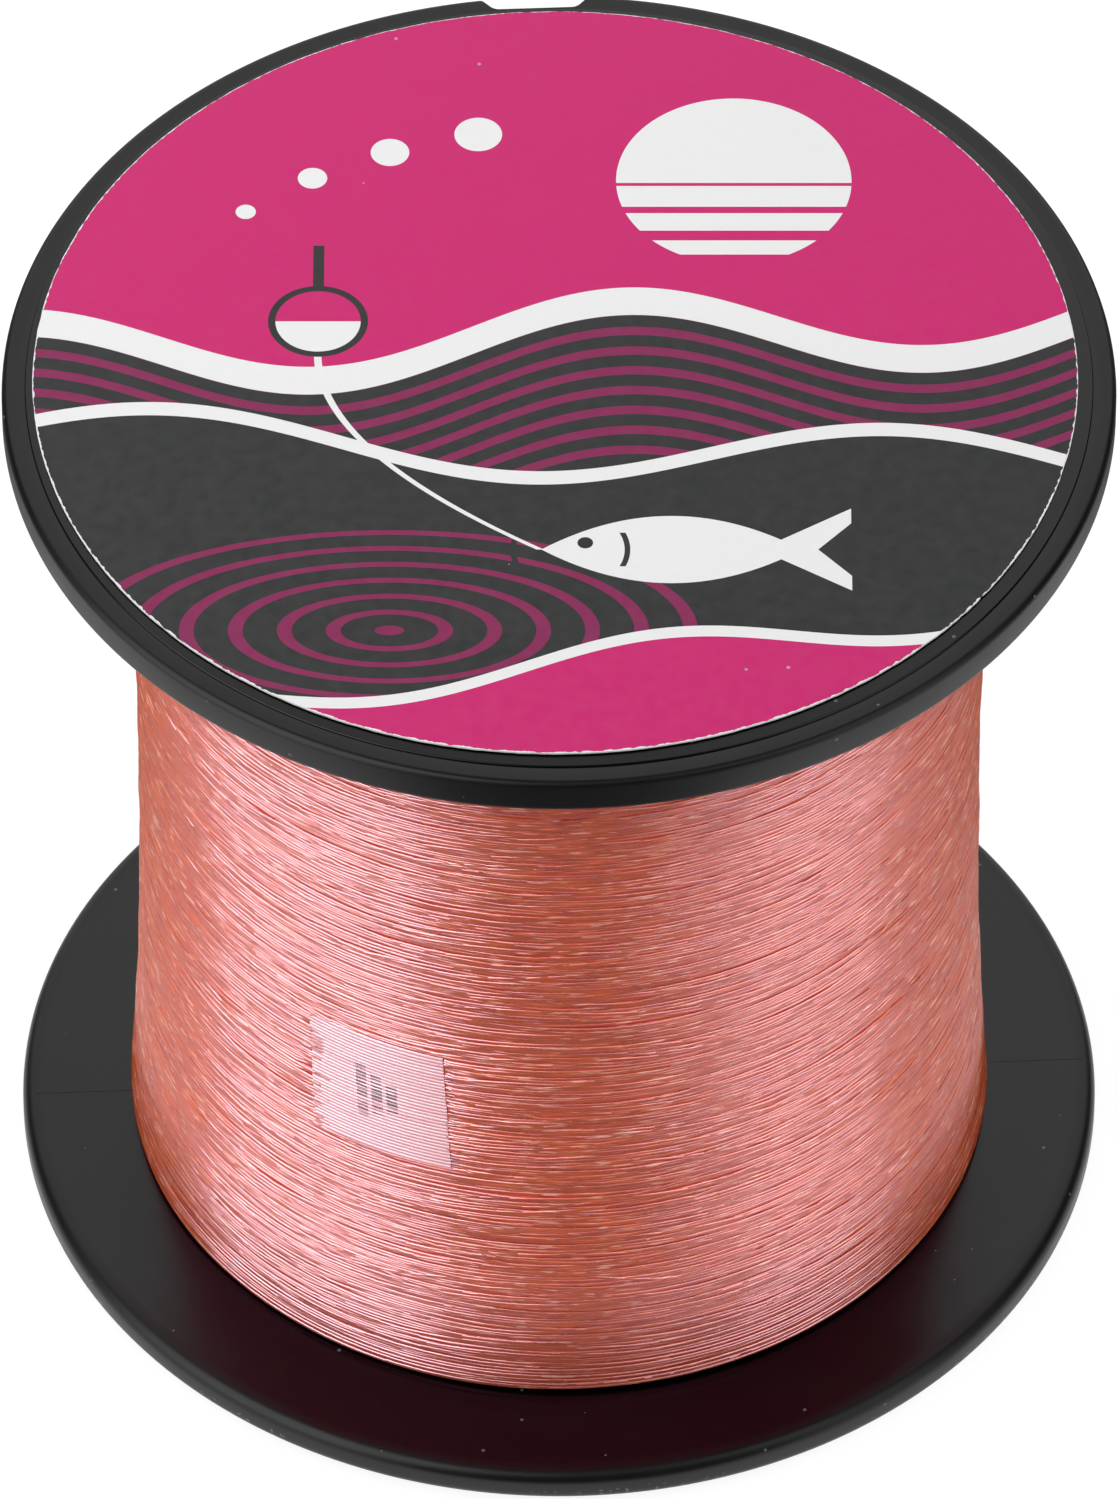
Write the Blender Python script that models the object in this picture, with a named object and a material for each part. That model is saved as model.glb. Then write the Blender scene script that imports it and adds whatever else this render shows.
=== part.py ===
"""Spool of fishing line: a one-piece moulded bobbin, a face label, and line wound in layers over its length marks.

Lengths are in metres and angles in radians. +Z is the spool's axis, the lower outer face lies on Z = 0, and the
notch in the upper rim faces +Y.
"""

import math

import bmesh
import bpy
import numpy as np

MM = 0.001

# Moulded bobbin
FLANGE_DIAMETER = 60.0 * MM
FLANGE_EDGE = 2.0 * MM
EDGE_ROUND = 0.6 * MM
LAND_WIDTH = 1.25 * MM
FACE_STEP = 0.2 * MM
WINDING_WIDTH = 53.0 * MM
BARREL_DIAMETER = 40.5 * MM
BARREL_WALL = 1.6 * MM
BARREL_ROOT_ROUND = 0.3 * MM
BARREL_DRAFT = 0.3 * MM
SPINDLE_BORE = 8.0 * MM
SPINDLE_WALL = 1.5 * MM
SPINDLE_SETBACK = 0.6 * MM
RIB_COUNT = 4
RIB_THICKNESS = 1.4 * MM
RIB_SETBACK = 3.0 * MM
NOTCH_WIDTH = 6.5 * MM
NOTCH_DEPTH = 1.1 * MM
NOTCH_FLANK = math.radians(42)

# Face label
LABEL_DIAMETER = 56.5 * MM
LABEL_THICKNESS = 0.25 * MM
LABEL_GLUE = 0.07 * MM

# Wound line and its length marks
WRAP_GAP = 0.04 * MM
LINE_END_GAP = 0.15 * MM
STAGE_BUILD = 0.4 * MM
WINDING_FLARE = 0.65 * MM
LOOP_COUNT = 24
LOOP_TUBE = 1.55 * MM
LOOP_END_BEND = 1.0 * MM
LOOP_END_ANGLE = math.radians(90)
SLOT_CLEARANCE = 0.15 * MM
MARK_THICKNESS = 0.08 * MM
SEAL_WIDTH = 8.0 * MM
SEAL_HEIGHT = 8.6 * MM
SEAL_200M_ANGLE = math.radians(-118)
SEAL_200M_HEIGHT = 23.2 * MM
SEAL_100M_ANGLE = math.radians(35)
SEAL_100M_HEIGHT = 34.0 * MM
TAPE_WIDTH = 10.0 * MM
TAPE_HEIGHT = 8.0 * MM
TAPE_ANGLE = math.radians(-90)
TAPE_END_DISTANCE = 3.0 * MM

# Facets
ROUND_SEGMENTS = 72
ARC_STEPS = 3
FLARE_STEPS = 6
MARK_STEPS = 6
LOOP_POINTS = 24
LOOP_SIDES_RESOLUTION = 1
END_BEND_STEPS = 5
END_RUN_STEPS = 2
SHARP_ANGLE = math.radians(35)
CUT_OVERRUN = 1.0 * MM

# Heights and radii that follow from the sizes above
LOWER_LAND = FACE_STEP
LOWER_INNER = LOWER_LAND + FLANGE_EDGE
UPPER_INNER = LOWER_INNER + WINDING_WIDTH
UPPER_LAND = UPPER_INNER + FLANGE_EDGE
UPPER_FACE = UPPER_LAND + FACE_STEP
FLANGE_RADIUS = FLANGE_DIAMETER / 2
FACE_RADIUS = FLANGE_RADIUS - LAND_WIDTH
BARREL_RADIUS = BARREL_DIAMETER / 2
HOLLOW_RADIUS = BARREL_RADIUS - BARREL_WALL
SPINDLE_RADIUS = SPINDLE_BORE / 2
SPINDLE_OUTER = SPINDLE_RADIUS + SPINDLE_WALL
WINDING_MIDDLE = (LOWER_INNER + UPPER_INNER) / 2
MARK_LAYER = WRAP_GAP + MARK_THICKNESS + WRAP_GAP
STAGE_1_INNER = BARREL_RADIUS + MARK_LAYER
STAGE_1_OUTER = STAGE_1_INNER + STAGE_BUILD
STAGE_2_INNER = STAGE_1_OUTER + MARK_LAYER
STAGE_2_OUTER = STAGE_2_INNER + STAGE_BUILD
STAGE_END = max(LINE_END_GAP, BARREL_ROOT_ROUND + WRAP_GAP)
LOOP_FACET = math.cos(math.pi / LOOP_POINTS)
LOWEST_LOOP = LOWER_INNER + LINE_END_GAP + LOOP_TUBE / 2
HIGHEST_LOOP = UPPER_INNER - LINE_END_GAP - LOOP_TUBE / 2


def clear_scene():
    for obj in list(bpy.data.objects):
        bpy.data.objects.remove(obj, do_unlink=True)


def make_material(name, colour, roughness):
    material = bpy.data.materials.new(name)
    material.use_nodes = True
    shader = material.node_tree.nodes["Principled BSDF"]
    shader.inputs["Base Color"].default_value = (*colour, 1.0)
    shader.inputs["Roughness"].default_value = roughness
    shader.inputs["Metallic"].default_value = 0.0
    return material


def add_object(name, data, material):
    obj = bpy.data.objects.new(name, data)
    data.materials.append(material)
    bpy.context.scene.collection.objects.link(obj)
    return obj


def add_mesh(name, bm, material):
    """The finished mesh as an object, its faces pointing out and its round faces shaded smooth."""
    bmesh.ops.recalc_face_normals(bm, faces=bm.faces)
    mesh = bpy.data.meshes.new(name)
    bm.to_mesh(mesh)
    bm.free()
    mesh.shade_smooth()
    mesh.set_sharp_from_angle(angle=SHARP_ANGLE)
    return add_object(name, mesh, material)


def as_helper(obj):
    """A shape that only cuts or joins another one."""
    obj.hide_render = True
    obj.display_type = "WIRE"
    return obj


def boolean(obj, helper, operation):
    modifier = obj.modifiers.new(helper.name, "BOOLEAN")
    modifier.operation = operation
    modifier.solver = "EXACT"
    modifier.object = helper


def arc(radius_at, height_at, size, first, last):
    """Points of a rounding about (radius_at, height_at), from one angle to another, in degrees."""
    angles = [math.radians(first + (last - first) * i / ARC_STEPS) for i in range(ARC_STEPS + 1)]
    return [(radius_at + size * math.cos(a), height_at + size * math.sin(a)) for a in angles]


def turned(name, profile, material):
    """A closed profile of (radius, height) points, spun round the axis."""
    bm = bmesh.new()
    verts = [bm.verts.new((radius, 0.0, height)) for radius, height in profile]
    edges = [bm.edges.new(pair) for pair in zip(verts, verts[1:] + verts[:1])]
    bmesh.ops.spin(
        bm,
        geom=verts + edges,
        cent=(0.0, 0.0, 0.0),
        axis=(0.0, 0.0, 1.0),
        angle=2 * math.pi,
        steps=ROUND_SEGMENTS,
        use_merge=True,
    )
    return add_mesh(name, bm, material)


def prism(name, outline, low, high, material):
    """A flat outline of (x, y) points at height low, extruded up to high."""
    bm = bmesh.new()
    face = bm.faces.new([bm.verts.new((x, y, low)) for x, y in outline])
    raised = bmesh.ops.extrude_face_region(bm, geom=[face])
    top = [item for item in raised["geom"] if isinstance(item, bmesh.types.BMVert)]
    bmesh.ops.translate(bm, verts=top, vec=(0.0, 0.0, high - low))
    return add_mesh(name, bm, material)


def flange_edge(lower, upper):
    """The rounded rim of a flange between two heights, from the top down."""
    inset = FLANGE_RADIUS - EDGE_ROUND
    top = arc(inset, upper - EDGE_ROUND, EDGE_ROUND, 90, 0)
    return top + arc(inset, lower + EDGE_ROUND, EDGE_ROUND, 0, -90)


def bobbin_profile():
    """The moulding's cross-section, down the outside and back up through the hollow barrel."""
    root = BARREL_RADIUS + BARREL_ROOT_ROUND
    outside = [(SPINDLE_RADIUS, UPPER_FACE), (FACE_RADIUS, UPPER_FACE), (FACE_RADIUS, UPPER_LAND)]
    outside += flange_edge(UPPER_INNER, UPPER_LAND)
    outside += arc(root, UPPER_INNER - BARREL_ROOT_ROUND, BARREL_ROOT_ROUND, 90, 180)
    outside += arc(root, LOWER_INNER + BARREL_ROOT_ROUND, BARREL_ROOT_ROUND, 180, 270)
    outside += flange_edge(LOWER_LAND, LOWER_INNER)
    outside += [(FACE_RADIUS, LOWER_LAND), (FACE_RADIUS, 0.0)]
    hollow = [
        (HOLLOW_RADIUS, 0.0),
        (HOLLOW_RADIUS - BARREL_DRAFT, UPPER_INNER),
        (SPINDLE_OUTER, UPPER_INNER),
        (SPINDLE_OUTER, SPINDLE_SETBACK),
        (SPINDLE_RADIUS, SPINDLE_SETBACK),
    ]
    return outside + hollow


def rib(index, material):
    """One web from the spindle tube to the barrel, sunk halfway into both walls and into the end wall."""
    inner = SPINDLE_RADIUS + SPINDLE_WALL / 2
    outer = HOLLOW_RADIUS + BARREL_WALL / 2
    half = RIB_THICKNESS / 2
    turn = 2 * math.pi * index / RIB_COUNT
    corners = [(inner, -half), (outer, -half), (outer, half), (inner, half)]
    outline = [
        (x * math.cos(turn) - y * math.sin(turn), x * math.sin(turn) + y * math.cos(turn))
        for x, y in corners
    ]
    sunk = UPPER_INNER + FLANGE_EDGE / 2
    return as_helper(prism(f"rib_{index + 1}", outline, RIB_SETBACK, sunk, material))


def rim_notch(material):
    """The cutter of the notch through the upper rim: a curved floor between two sloping flanks."""
    floor = FLANGE_RADIUS - NOTCH_DEPTH
    mouth = FLANGE_RADIUS + CUT_OVERRUN
    half_mouth = NOTCH_WIDTH / 2 + CUT_OVERRUN * math.tan(NOTCH_FLANK)
    half_floor = NOTCH_WIDTH / 2 - NOTCH_DEPTH * math.tan(NOTCH_FLANK)
    reach = math.asin(half_floor / floor)
    angles = [reach * (2 * i / ARC_STEPS - 1) for i in range(ARC_STEPS + 1)]
    outline = [(floor * math.sin(a), floor * math.cos(a)) for a in angles]
    outline += [(half_mouth, mouth), (-half_mouth, mouth)]
    low = UPPER_INNER - CUT_OVERRUN
    return as_helper(prism("rim_notch_cutter", outline, low, UPPER_FACE + CUT_OVERRUN, material))


def spool_body(material):
    body = turned("spool_body", bobbin_profile(), material)
    for index in range(RIB_COUNT):
        boolean(body, rib(index, material), "UNION")
    boolean(body, rim_notch(material), "DIFFERENCE")


def face_label(material):
    bm = bmesh.new()
    bmesh.ops.create_cone(
        bm,
        cap_ends=True,
        segments=ROUND_SEGMENTS,
        radius1=LABEL_DIAMETER / 2,
        radius2=LABEL_DIAMETER / 2,
        depth=LABEL_THICKNESS,
    )
    label = add_mesh("face_label", bm, material)
    label.location.z = UPPER_FACE + LABEL_GLUE + LABEL_THICKNESS / 2


def flare(height):
    """How much fatter the winding is at this height than at its middle: the line heaps up where it turns back."""
    return WINDING_FLARE * ((height - WINDING_MIDDLE) / (WINDING_WIDTH / 2)) ** 2


def straight_side(_height):
    return 0.0


def end_slot(name, height, towards_end, material):
    """The cutter of the slot where an end of the outer layer drops to the barrel, open at the winding's end."""
    half = LOOP_TUBE / 2 + SLOT_CLEARANCE
    near = height - towards_end * half
    far = height + towards_end * (half + LINE_END_GAP + CUT_OVERRUN)
    sides = (-half, half + LOOP_END_BEND) if towards_end < 0 else (-half - LOOP_END_BEND, half)
    inner = BARREL_RADIUS - CUT_OVERRUN
    outer = STAGE_2_OUTER + WINDING_FLARE + CUT_OVERRUN
    cos, sin = math.cos(LOOP_END_ANGLE), math.sin(LOOP_END_ANGLE)
    corners = [(inner, sides[0]), (outer, sides[0]), (outer, sides[1]), (inner, sides[1])]
    outline = [(r * cos - s * sin, r * sin + s * cos) for r, s in corners]
    return as_helper(prism(name, outline, min(near, far), max(near, far), material))


def line_stage(name, inner, outer, swell, slots, material):
    """A plain core of wound line, cut where the outer layer's ends pass through it."""
    low = LOWER_INNER + STAGE_END
    high = UPPER_INNER - STAGE_END
    heights = [high + (low - high) * i / FLARE_STEPS for i in range(FLARE_STEPS + 1)]
    profile = [(outer + swell(height), height) for height in heights]
    profile += [(inner, low), (inner, high)]
    stage = turned(name, profile, material)
    for slot in slots:
        boolean(stage, slot, "DIFFERENCE")


def length_mark(name, seat, swell, angle, middle, width, height, material):
    """A thin film bent round the wound line or the barrel, standing one wrap gap off the radius it lies on."""
    bm = bmesh.new()
    rows = []
    for i in range(MARK_STEPS + 1):
        z = middle + height * (i / MARK_STEPS - 0.5)
        radius = seat + swell(z) + WRAP_GAP
        turns = [angle + width / seat * (j / MARK_STEPS - 0.5) for j in range(MARK_STEPS + 1)]
        rows.append([bm.verts.new((radius * math.cos(t), radius * math.sin(t), z)) for t in turns])
    for lower, upper in zip(rows, rows[1:]):
        for j in range(MARK_STEPS):
            bm.faces.new((lower[j], lower[j + 1], upper[j + 1], upper[j]))
    mark = add_mesh(name, bm, material)
    film = mark.modifiers.new("film", "SOLIDIFY")
    film.thickness = MARK_THICKNESS
    film.offset = 1.0


def loop_radius(height):
    """Radius of the outer layer's points, so that its straight facets clear the mark on the second stage."""
    inside = STAGE_2_OUTER + MARK_LAYER + flare(height)
    return (inside + LOOP_TUBE / 2) / LOOP_FACET


def end_points(height, turn, angle):
    """One end of the outer layer: straight out from the barrel, then bent into the winding's direction."""
    radius = loop_radius(height) - LOOP_END_BEND
    lean = math.asin(LOOP_END_BEND / radius)
    leave = radius * math.cos(lean)
    start = BARREL_RADIUS + WRAP_GAP
    points = []
    for i in range(END_RUN_STEPS):
        points.append((start + (leave - start) * i / END_RUN_STEPS, 0.0))
    for i in range(END_BEND_STEPS):
        bend = math.radians(90) * i / END_BEND_STEPS
        out = leave + LOOP_END_BEND * math.sin(bend)
        aside = LOOP_END_BEND * (1 - math.cos(bend))
        points.append((out, turn * aside))
    cos, sin = math.cos(angle), math.sin(angle)
    return [(r * cos - s * sin, r * sin + s * cos, height) for r, s in points], lean


def outer_layer_points():
    """The route of the outer layer: up from the barrel, round in loops and down to the barrel again."""
    first, lean_first = end_points(LOWEST_LOOP, 1, LOOP_END_ANGLE)
    last, lean_last = end_points(HIGHEST_LOOP, -1, LOOP_END_ANGLE)
    count = LOOP_COUNT * LOOP_POINTS
    sweep = 2 * math.pi * LOOP_COUNT - lean_first - lean_last
    loops = []
    for i in range(count + 1):
        angle = LOOP_END_ANGLE + lean_first + sweep * i / count
        height = LOWEST_LOOP + (HIGHEST_LOOP - LOWEST_LOOP) * i / count
        radius = loop_radius(height)
        loops.append((radius * math.cos(angle), radius * math.sin(angle), height))
    return first + loops + last[::-1]


def least_gap(points):
    """The least clear distance between stretches of the tube that lie half a loop or more apart along it."""
    places = np.array(points)
    apart = LOOP_POINTS // 2
    nearest = min(
        np.linalg.norm(places[i + apart :] - places[i], axis=1).min()
        for i in range(len(places) - apart)
    )
    return nearest - LOOP_TUBE


def line_outer_layer(material):
    points = outer_layer_points()
    print(f"Least gap of the outer layer to itself: {least_gap(points) / MM:.2f} mm")
    curve = bpy.data.curves.new("line_outer_layer", "CURVE")
    curve.dimensions = "3D"
    curve.bevel_depth = LOOP_TUBE / 2
    curve.bevel_resolution = LOOP_SIDES_RESOLUTION
    curve.use_fill_caps = True
    spline = curve.splines.new("POLY")
    spline.points.add(len(points) - 1)
    for point, place in zip(spline.points, points):
        point.co = (*place, 1.0)
    add_object("line_outer_layer", curve, material)


def main():
    clear_scene()
    black_plastic = make_material("black_plastic", (0.022, 0.022, 0.023), 0.32)
    label_card = make_material("label_card", (0.60, 0.026, 0.17), 0.5)
    pink_line = make_material("pink_line", (0.84, 0.27, 0.22), 0.22)
    seal_film = make_material("seal_film", (0.92, 0.70, 0.68), 0.5)
    clear_tape = make_material("clear_tape", (0.80, 0.80, 0.77), 0.4)

    spool_body(black_plastic)
    face_label(label_card)
    length_mark(
        "line_start_tape", BARREL_RADIUS, straight_side, TAPE_ANGLE,
        LOWER_INNER + TAPE_END_DISTANCE + TAPE_HEIGHT / 2, TAPE_WIDTH, TAPE_HEIGHT, clear_tape,
    )
    slots = [
        end_slot("lower_end_slot", LOWEST_LOOP, -1, pink_line),
        end_slot("upper_end_slot", HIGHEST_LOOP, 1, pink_line),
    ]
    line_stage("line_first_100m", STAGE_1_INNER, STAGE_1_OUTER, straight_side, slots, pink_line)
    length_mark(
        "marking_seal_100m", STAGE_1_OUTER, straight_side, SEAL_100M_ANGLE,
        SEAL_100M_HEIGHT, SEAL_WIDTH, SEAL_HEIGHT, seal_film,
    )
    line_stage("line_second_100m", STAGE_2_INNER, STAGE_2_OUTER, flare, slots, pink_line)
    length_mark(
        "marking_seal_200m", STAGE_2_OUTER, flare, SEAL_200M_ANGLE,
        SEAL_200M_HEIGHT, SEAL_WIDTH, SEAL_HEIGHT, seal_film,
    )
    line_outer_layer(pink_line)


main()
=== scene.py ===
import math
from collections import namedtuple

import bpy
import numpy as np
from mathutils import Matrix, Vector


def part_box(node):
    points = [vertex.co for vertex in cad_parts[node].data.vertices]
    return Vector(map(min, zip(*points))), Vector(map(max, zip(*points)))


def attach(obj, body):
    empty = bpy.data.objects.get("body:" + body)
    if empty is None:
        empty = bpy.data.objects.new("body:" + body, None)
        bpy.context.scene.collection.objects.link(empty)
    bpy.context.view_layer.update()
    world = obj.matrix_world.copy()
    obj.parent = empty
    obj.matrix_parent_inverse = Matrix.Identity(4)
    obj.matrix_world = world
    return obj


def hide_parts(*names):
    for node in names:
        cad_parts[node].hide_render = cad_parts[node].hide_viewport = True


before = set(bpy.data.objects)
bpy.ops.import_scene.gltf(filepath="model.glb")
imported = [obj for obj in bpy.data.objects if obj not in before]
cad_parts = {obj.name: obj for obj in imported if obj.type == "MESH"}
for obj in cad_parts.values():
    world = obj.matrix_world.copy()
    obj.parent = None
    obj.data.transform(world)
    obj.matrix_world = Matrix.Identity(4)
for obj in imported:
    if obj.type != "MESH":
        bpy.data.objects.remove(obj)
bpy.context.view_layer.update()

# Lengths are in metres and angles in radians.
# The spool's axis is +Z and the notch in its upper rim faces +Y.
MM = 0.001
TOUCHING = 1e-6
FACING_UP = 0.9

# Sizes read from the frame
body_low, body_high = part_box("spool_body")
label_low, label_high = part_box("face_label")
line_low, line_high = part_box("line_outer_layer")
stage_1_low, stage_1_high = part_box("line_first_100m")
stage_2_low, stage_2_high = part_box("line_second_100m")

FLANGE_RADIUS = body_high.x

# Label, stuck on a little off the middle
LABEL_RADIUS = label_high.x - 0.12 * MM
LABEL_SHIFT = (-0.2 * MM, 0.15 * MM)
LABEL_THICKNESS = 0.13 * MM
LABEL_TOP = label_low.z + 0.18 * MM
LABEL_POINTS = 720
LABEL_SEED = 5
LABEL_RAG = 0.03 * MM
LABEL_RAG_LIMIT = 0.05 * MM
LABEL_RAG_BLEND = 5
LABEL_EDGE_WIDTH = 0.09 * MM
LABEL_EDGE_DROP = 0.03 * MM

# Moulded spool, as in the part's source
FLANGE_EDGE = 2.0 * MM
UPPER_EDGE_ROUND = 0.4 * MM
LOWER_EDGE_ROUND = 0.7 * MM
LAND_WIDTH = 1.25 * MM
FACE_STEP = 0.2 * MM
STEP_ROUND = 0.08 * MM
BARREL_RADIUS = 20.25 * MM
BARREL_WALL = 1.6 * MM
BARREL_ROOT_ROUND = 0.3 * MM
BARREL_DRAFT = 0.3 * MM
HOLLOW_ROUND = 0.5 * MM
SPINDLE_RADIUS = 4.0 * MM
SPINDLE_WALL = 1.5 * MM
SPINDLE_SETBACK = 0.6 * MM
SPINDLE_CHAMFER = 0.3 * MM
RIB_COUNT = 4
RIB_THICKNESS = 1.4 * MM
RIB_SETBACK = 3.0 * MM
RIB_ROUND = 0.3 * MM
NOTCH_WIDTH = 6.5 * MM
NOTCH_DEPTH = 1.1 * MM
NOTCH_FLANK = math.radians(42)
NOTCH_CORNER = 0.25 * MM
NOTCH_OVERCUT = 1.0 * MM
SPLIT_LINE_WIDTH = 0.15 * MM
SPLIT_LINE_HEIGHT = 0.012 * MM
SPLIT_LINE_ROOT = 0.1 * MM
SPIN_STEPS = 256
ARC_STEPS = 8
STEP_ARC_STEPS = 3
BARREL_ARC_STEPS = 4
SMOOTH_ANGLE = math.radians(32)

LOWER_LAND = body_low.z + FACE_STEP
LOWER_INNER = LOWER_LAND + FLANGE_EDGE
UPPER_FACE = body_high.z
UPPER_LAND = UPPER_FACE - FACE_STEP / 2
UPPER_INNER = UPPER_FACE - FACE_STEP - FLANGE_EDGE
FACE_RADIUS = FLANGE_RADIUS - LAND_WIDTH
HOLLOW_RADIUS = BARREL_RADIUS - BARREL_WALL
SPINDLE_OUTER = SPINDLE_RADIUS + SPINDLE_WALL

# Wound line
STRAND_DIAMETER = 0.25 * MM
STRAND_SIDES = 5
Layer = namedtuple("Layer", "name turns points depth wander stretch heave")
LAYERS = (
    Layer("line_strands_lower", 200, 90, 0.06 * MM, wander=0.04 * MM, stretch=8 * MM, heave=0.008 * MM),
    Layer("line_strands_middle", 165, 120, 0.04 * MM, wander=0.25 * MM, stretch=7 * MM, heave=0.012 * MM),
    Layer("line_strands_outer", 110, 175, 0.03 * MM, wander=0.5 * MM, stretch=9 * MM, heave=0.014 * MM),
)
STRAND_SEED = 40
STRAND_START = 0.37
STRAND_SMOOTH_ANGLE = math.radians(80)
END_MARGIN = 0.1 * MM
WAIST_RADIUS = 23.12 * MM
END_SWELL = 0.85 * MM
SHOULDER = 0.5 * MM
HEAVE_STRETCH = 2.6 * MM
CALM_REACH = 6 * MM
CALM_LEAST = 0.2
Swell = namedtuple("Swell", "waves lean start size")
SWELLS = (Swell(2, 0.31, 0.4, 1.0), Swell(3, -0.53, 1.9, 0.8), Swell(5, 1.13, 0.0, 0.9))
SWELL_HEIGHT = 0.022 * MM

WINDING_LOW = line_low.z - END_MARGIN
WINDING_HIGH = line_high.z + END_MARGIN
WINDING_MIDDLE = (WINDING_LOW + WINDING_HIGH) / 2
WINDING_HALF = (WINDING_HIGH - WINDING_LOW) / 2

# Packed line under the strands
BED_DEPTH = 0.20 * MM
OUTER_CORE_INSIDE = BARREL_RADIUS + 0.72 * MM
INNER_CORE_OUTSIDE = BARREL_RADIUS + 0.56 * MM
INNER_CORE_INSIDE = BARREL_RADIUS + 0.16 * MM
CORE_STEPS = 60
CORE_SPIN_STEPS = 144

# Length seal that shows through the outer strands
SEAL_ANGLE = math.radians(-118)
SEAL_MIDDLE = 23.2 * MM
SEAL_HALF_WIDTH = 4.08 * MM
SEAL_HALF_HEIGHT = 4.3 * MM
SEAL_THICKNESS = 0.03 * MM
SEAL_COLUMNS = 24
SEAL_RIDGES = 34
SEAL_RIDGE = 0.06 * MM
RIDGE_ROWS = 6
RIDGE_FULLNESS = 0.98
SEAL_DEPTH = 0.07 * MM
SEAL_LEAN = -0.055
SEAL_MARGIN = 2.0 * MM
SEAL_SMOOTH_ANGLE = math.radians(60)

# Pocket for the seal in the layers under it, which overlap its left edge a little
LAYERS_UNDER_SEAL = 2
SEAL_POCKET = 0.3 * MM
SEAL_OVERLAP = 1.2 * MM

# Photograph's view
PHOTO_TURN = math.radians(2.57)
CAMERA_TARGET = Vector((0.0, 0.0, 28.6 * MM))
CAMERA_ELEVATION = math.radians(46.32)
CAMERA_AZIMUTH = math.radians(-90) - PHOTO_TURN
CAMERA_DISTANCE = 1011 * MM
CAMERA_LENS = 442.0

# Floor, as its own grey and the glow that makes it white
FLOOR_SIZE = 6.0
FLOOR_GAP = 0.02 * MM
FLOOR_GREY = 0.18
FLOOR_GLOW = 0.88

# Lamps, with angles in degrees: fills for the body colour, and cards and sheens for the gloss
Lamp = namedtuple(
    "Lamp",
    "name beside_camera elevation distance width height radiance in_gloss in_body on_moulding",
    defaults=(True, True, True),
)
LAMPS = (
    Lamp("fill_front", 0, 45, 0.8, 0.8, 0.6, 0.8, in_gloss=False),
    Lamp("fill_left", -95, 35, 0.8, 0.6, 0.6, 1.7, in_gloss=False),
    Lamp("fill_right", 95, 35, 0.8, 0.6, 0.6, 1.3, in_gloss=False),
    Lamp("fill_back_left", -140, 6, 0.8, 0.5, 0.4, 4.5, in_gloss=False),
    Lamp("card_left", -60, 36, 0.7, 0.80, 0.94, 5.0, in_body=False, on_moulding=False),
    Lamp("sheen_left", -60, 36, 0.68, 0.78, 0.91, 2.0, in_body=False),
    Lamp("card_right", 62, 36, 0.7, 0.48, 0.94, 2.9, in_body=False, on_moulding=False),
    Lamp("sheen_right", 62, 36, 0.68, 0.47, 0.91, 0.9, in_body=False),
    Lamp("card_front", 27, 36, 0.7, 0.25, 0.94, 1.2, in_body=False, on_moulding=False),
)


# Modelling helpers

def start_clean():
    if bpy.context.mode != "OBJECT":
        bpy.ops.object.mode_set(mode="OBJECT")
    bpy.ops.object.select_all(action="DESELECT")


def start_on(piece):
    start_clean()
    bpy.context.view_layer.objects.active = piece
    piece.select_set(True)


def edit_chosen(piece, kind, chosen, operator, **settings):
    """Runs a mesh operator on only those edges or faces that a test picks out."""
    bpy.ops.object.mode_set(mode="EDIT")
    bpy.ops.mesh.select_mode(type=kind)
    bpy.ops.mesh.select_all(action="DESELECT")
    bpy.ops.object.mode_set(mode="OBJECT")
    for part in piece.data.edges if kind == "EDGE" else piece.data.polygons:
        part.select = chosen(part)
    bpy.ops.object.mode_set(mode="EDIT")
    operator(**settings)
    bpy.ops.object.mode_set(mode="OBJECT")


def finish_edit(piece):
    """Leaves edit mode with doubles merged and faces turned outwards."""
    bpy.ops.mesh.select_all(action="SELECT")
    bpy.ops.mesh.remove_doubles(threshold=TOUCHING)
    bpy.ops.mesh.select_all(action="SELECT")
    bpy.ops.mesh.normals_make_consistent(inside=False)
    bpy.ops.object.mode_set(mode="OBJECT")
    return piece


def apply_modifier(piece, kind, **settings):
    start_on(piece)
    modifier = piece.modifiers.new(kind.lower(), kind)
    for name, value in settings.items():
        setattr(modifier, name, value)
    bpy.ops.object.modifier_apply(modifier=modifier.name)


def smooth(piece, angle=SMOOTH_ANGLE):
    start_on(piece)
    bpy.ops.object.shade_smooth_by_angle(angle=angle)


def cut(piece, tool, operation):
    apply_modifier(piece, "BOOLEAN", operation=operation, object=tool, solver="EXACT")
    bpy.data.objects.remove(tool, do_unlink=True)


def spun(name, outline, steps=SPIN_STEPS):
    """A closed outline of (radius, height) points, drawn with extruded vertices and spun round the axis."""
    start_clean()
    bpy.ops.mesh.primitive_plane_add(size=1 * MM)
    piece = bpy.context.object
    piece.name = name
    bpy.ops.object.mode_set(mode="EDIT")
    bpy.ops.mesh.select_mode(type="VERT")
    bpy.ops.mesh.select_all(action="SELECT")
    bpy.ops.mesh.merge(type="CENTER")
    bpy.ops.transform.translate(value=(outline[0][0], 0.0, outline[0][1]))
    for here, there in zip(outline, outline[1:] + outline[:1]):
        step = (there[0] - here[0], 0.0, there[1] - here[1])
        bpy.ops.mesh.extrude_vertices_move(TRANSFORM_OT_translate={"value": step})
    bpy.ops.mesh.select_all(action="SELECT")
    bpy.ops.mesh.remove_doubles(threshold=TOUCHING)
    bpy.ops.mesh.select_all(action="SELECT")
    bpy.ops.mesh.spin(steps=steps, angle=2 * math.pi, center=(0, 0, 0), axis=(0, 0, 1))
    return finish_edit(piece)


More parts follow.
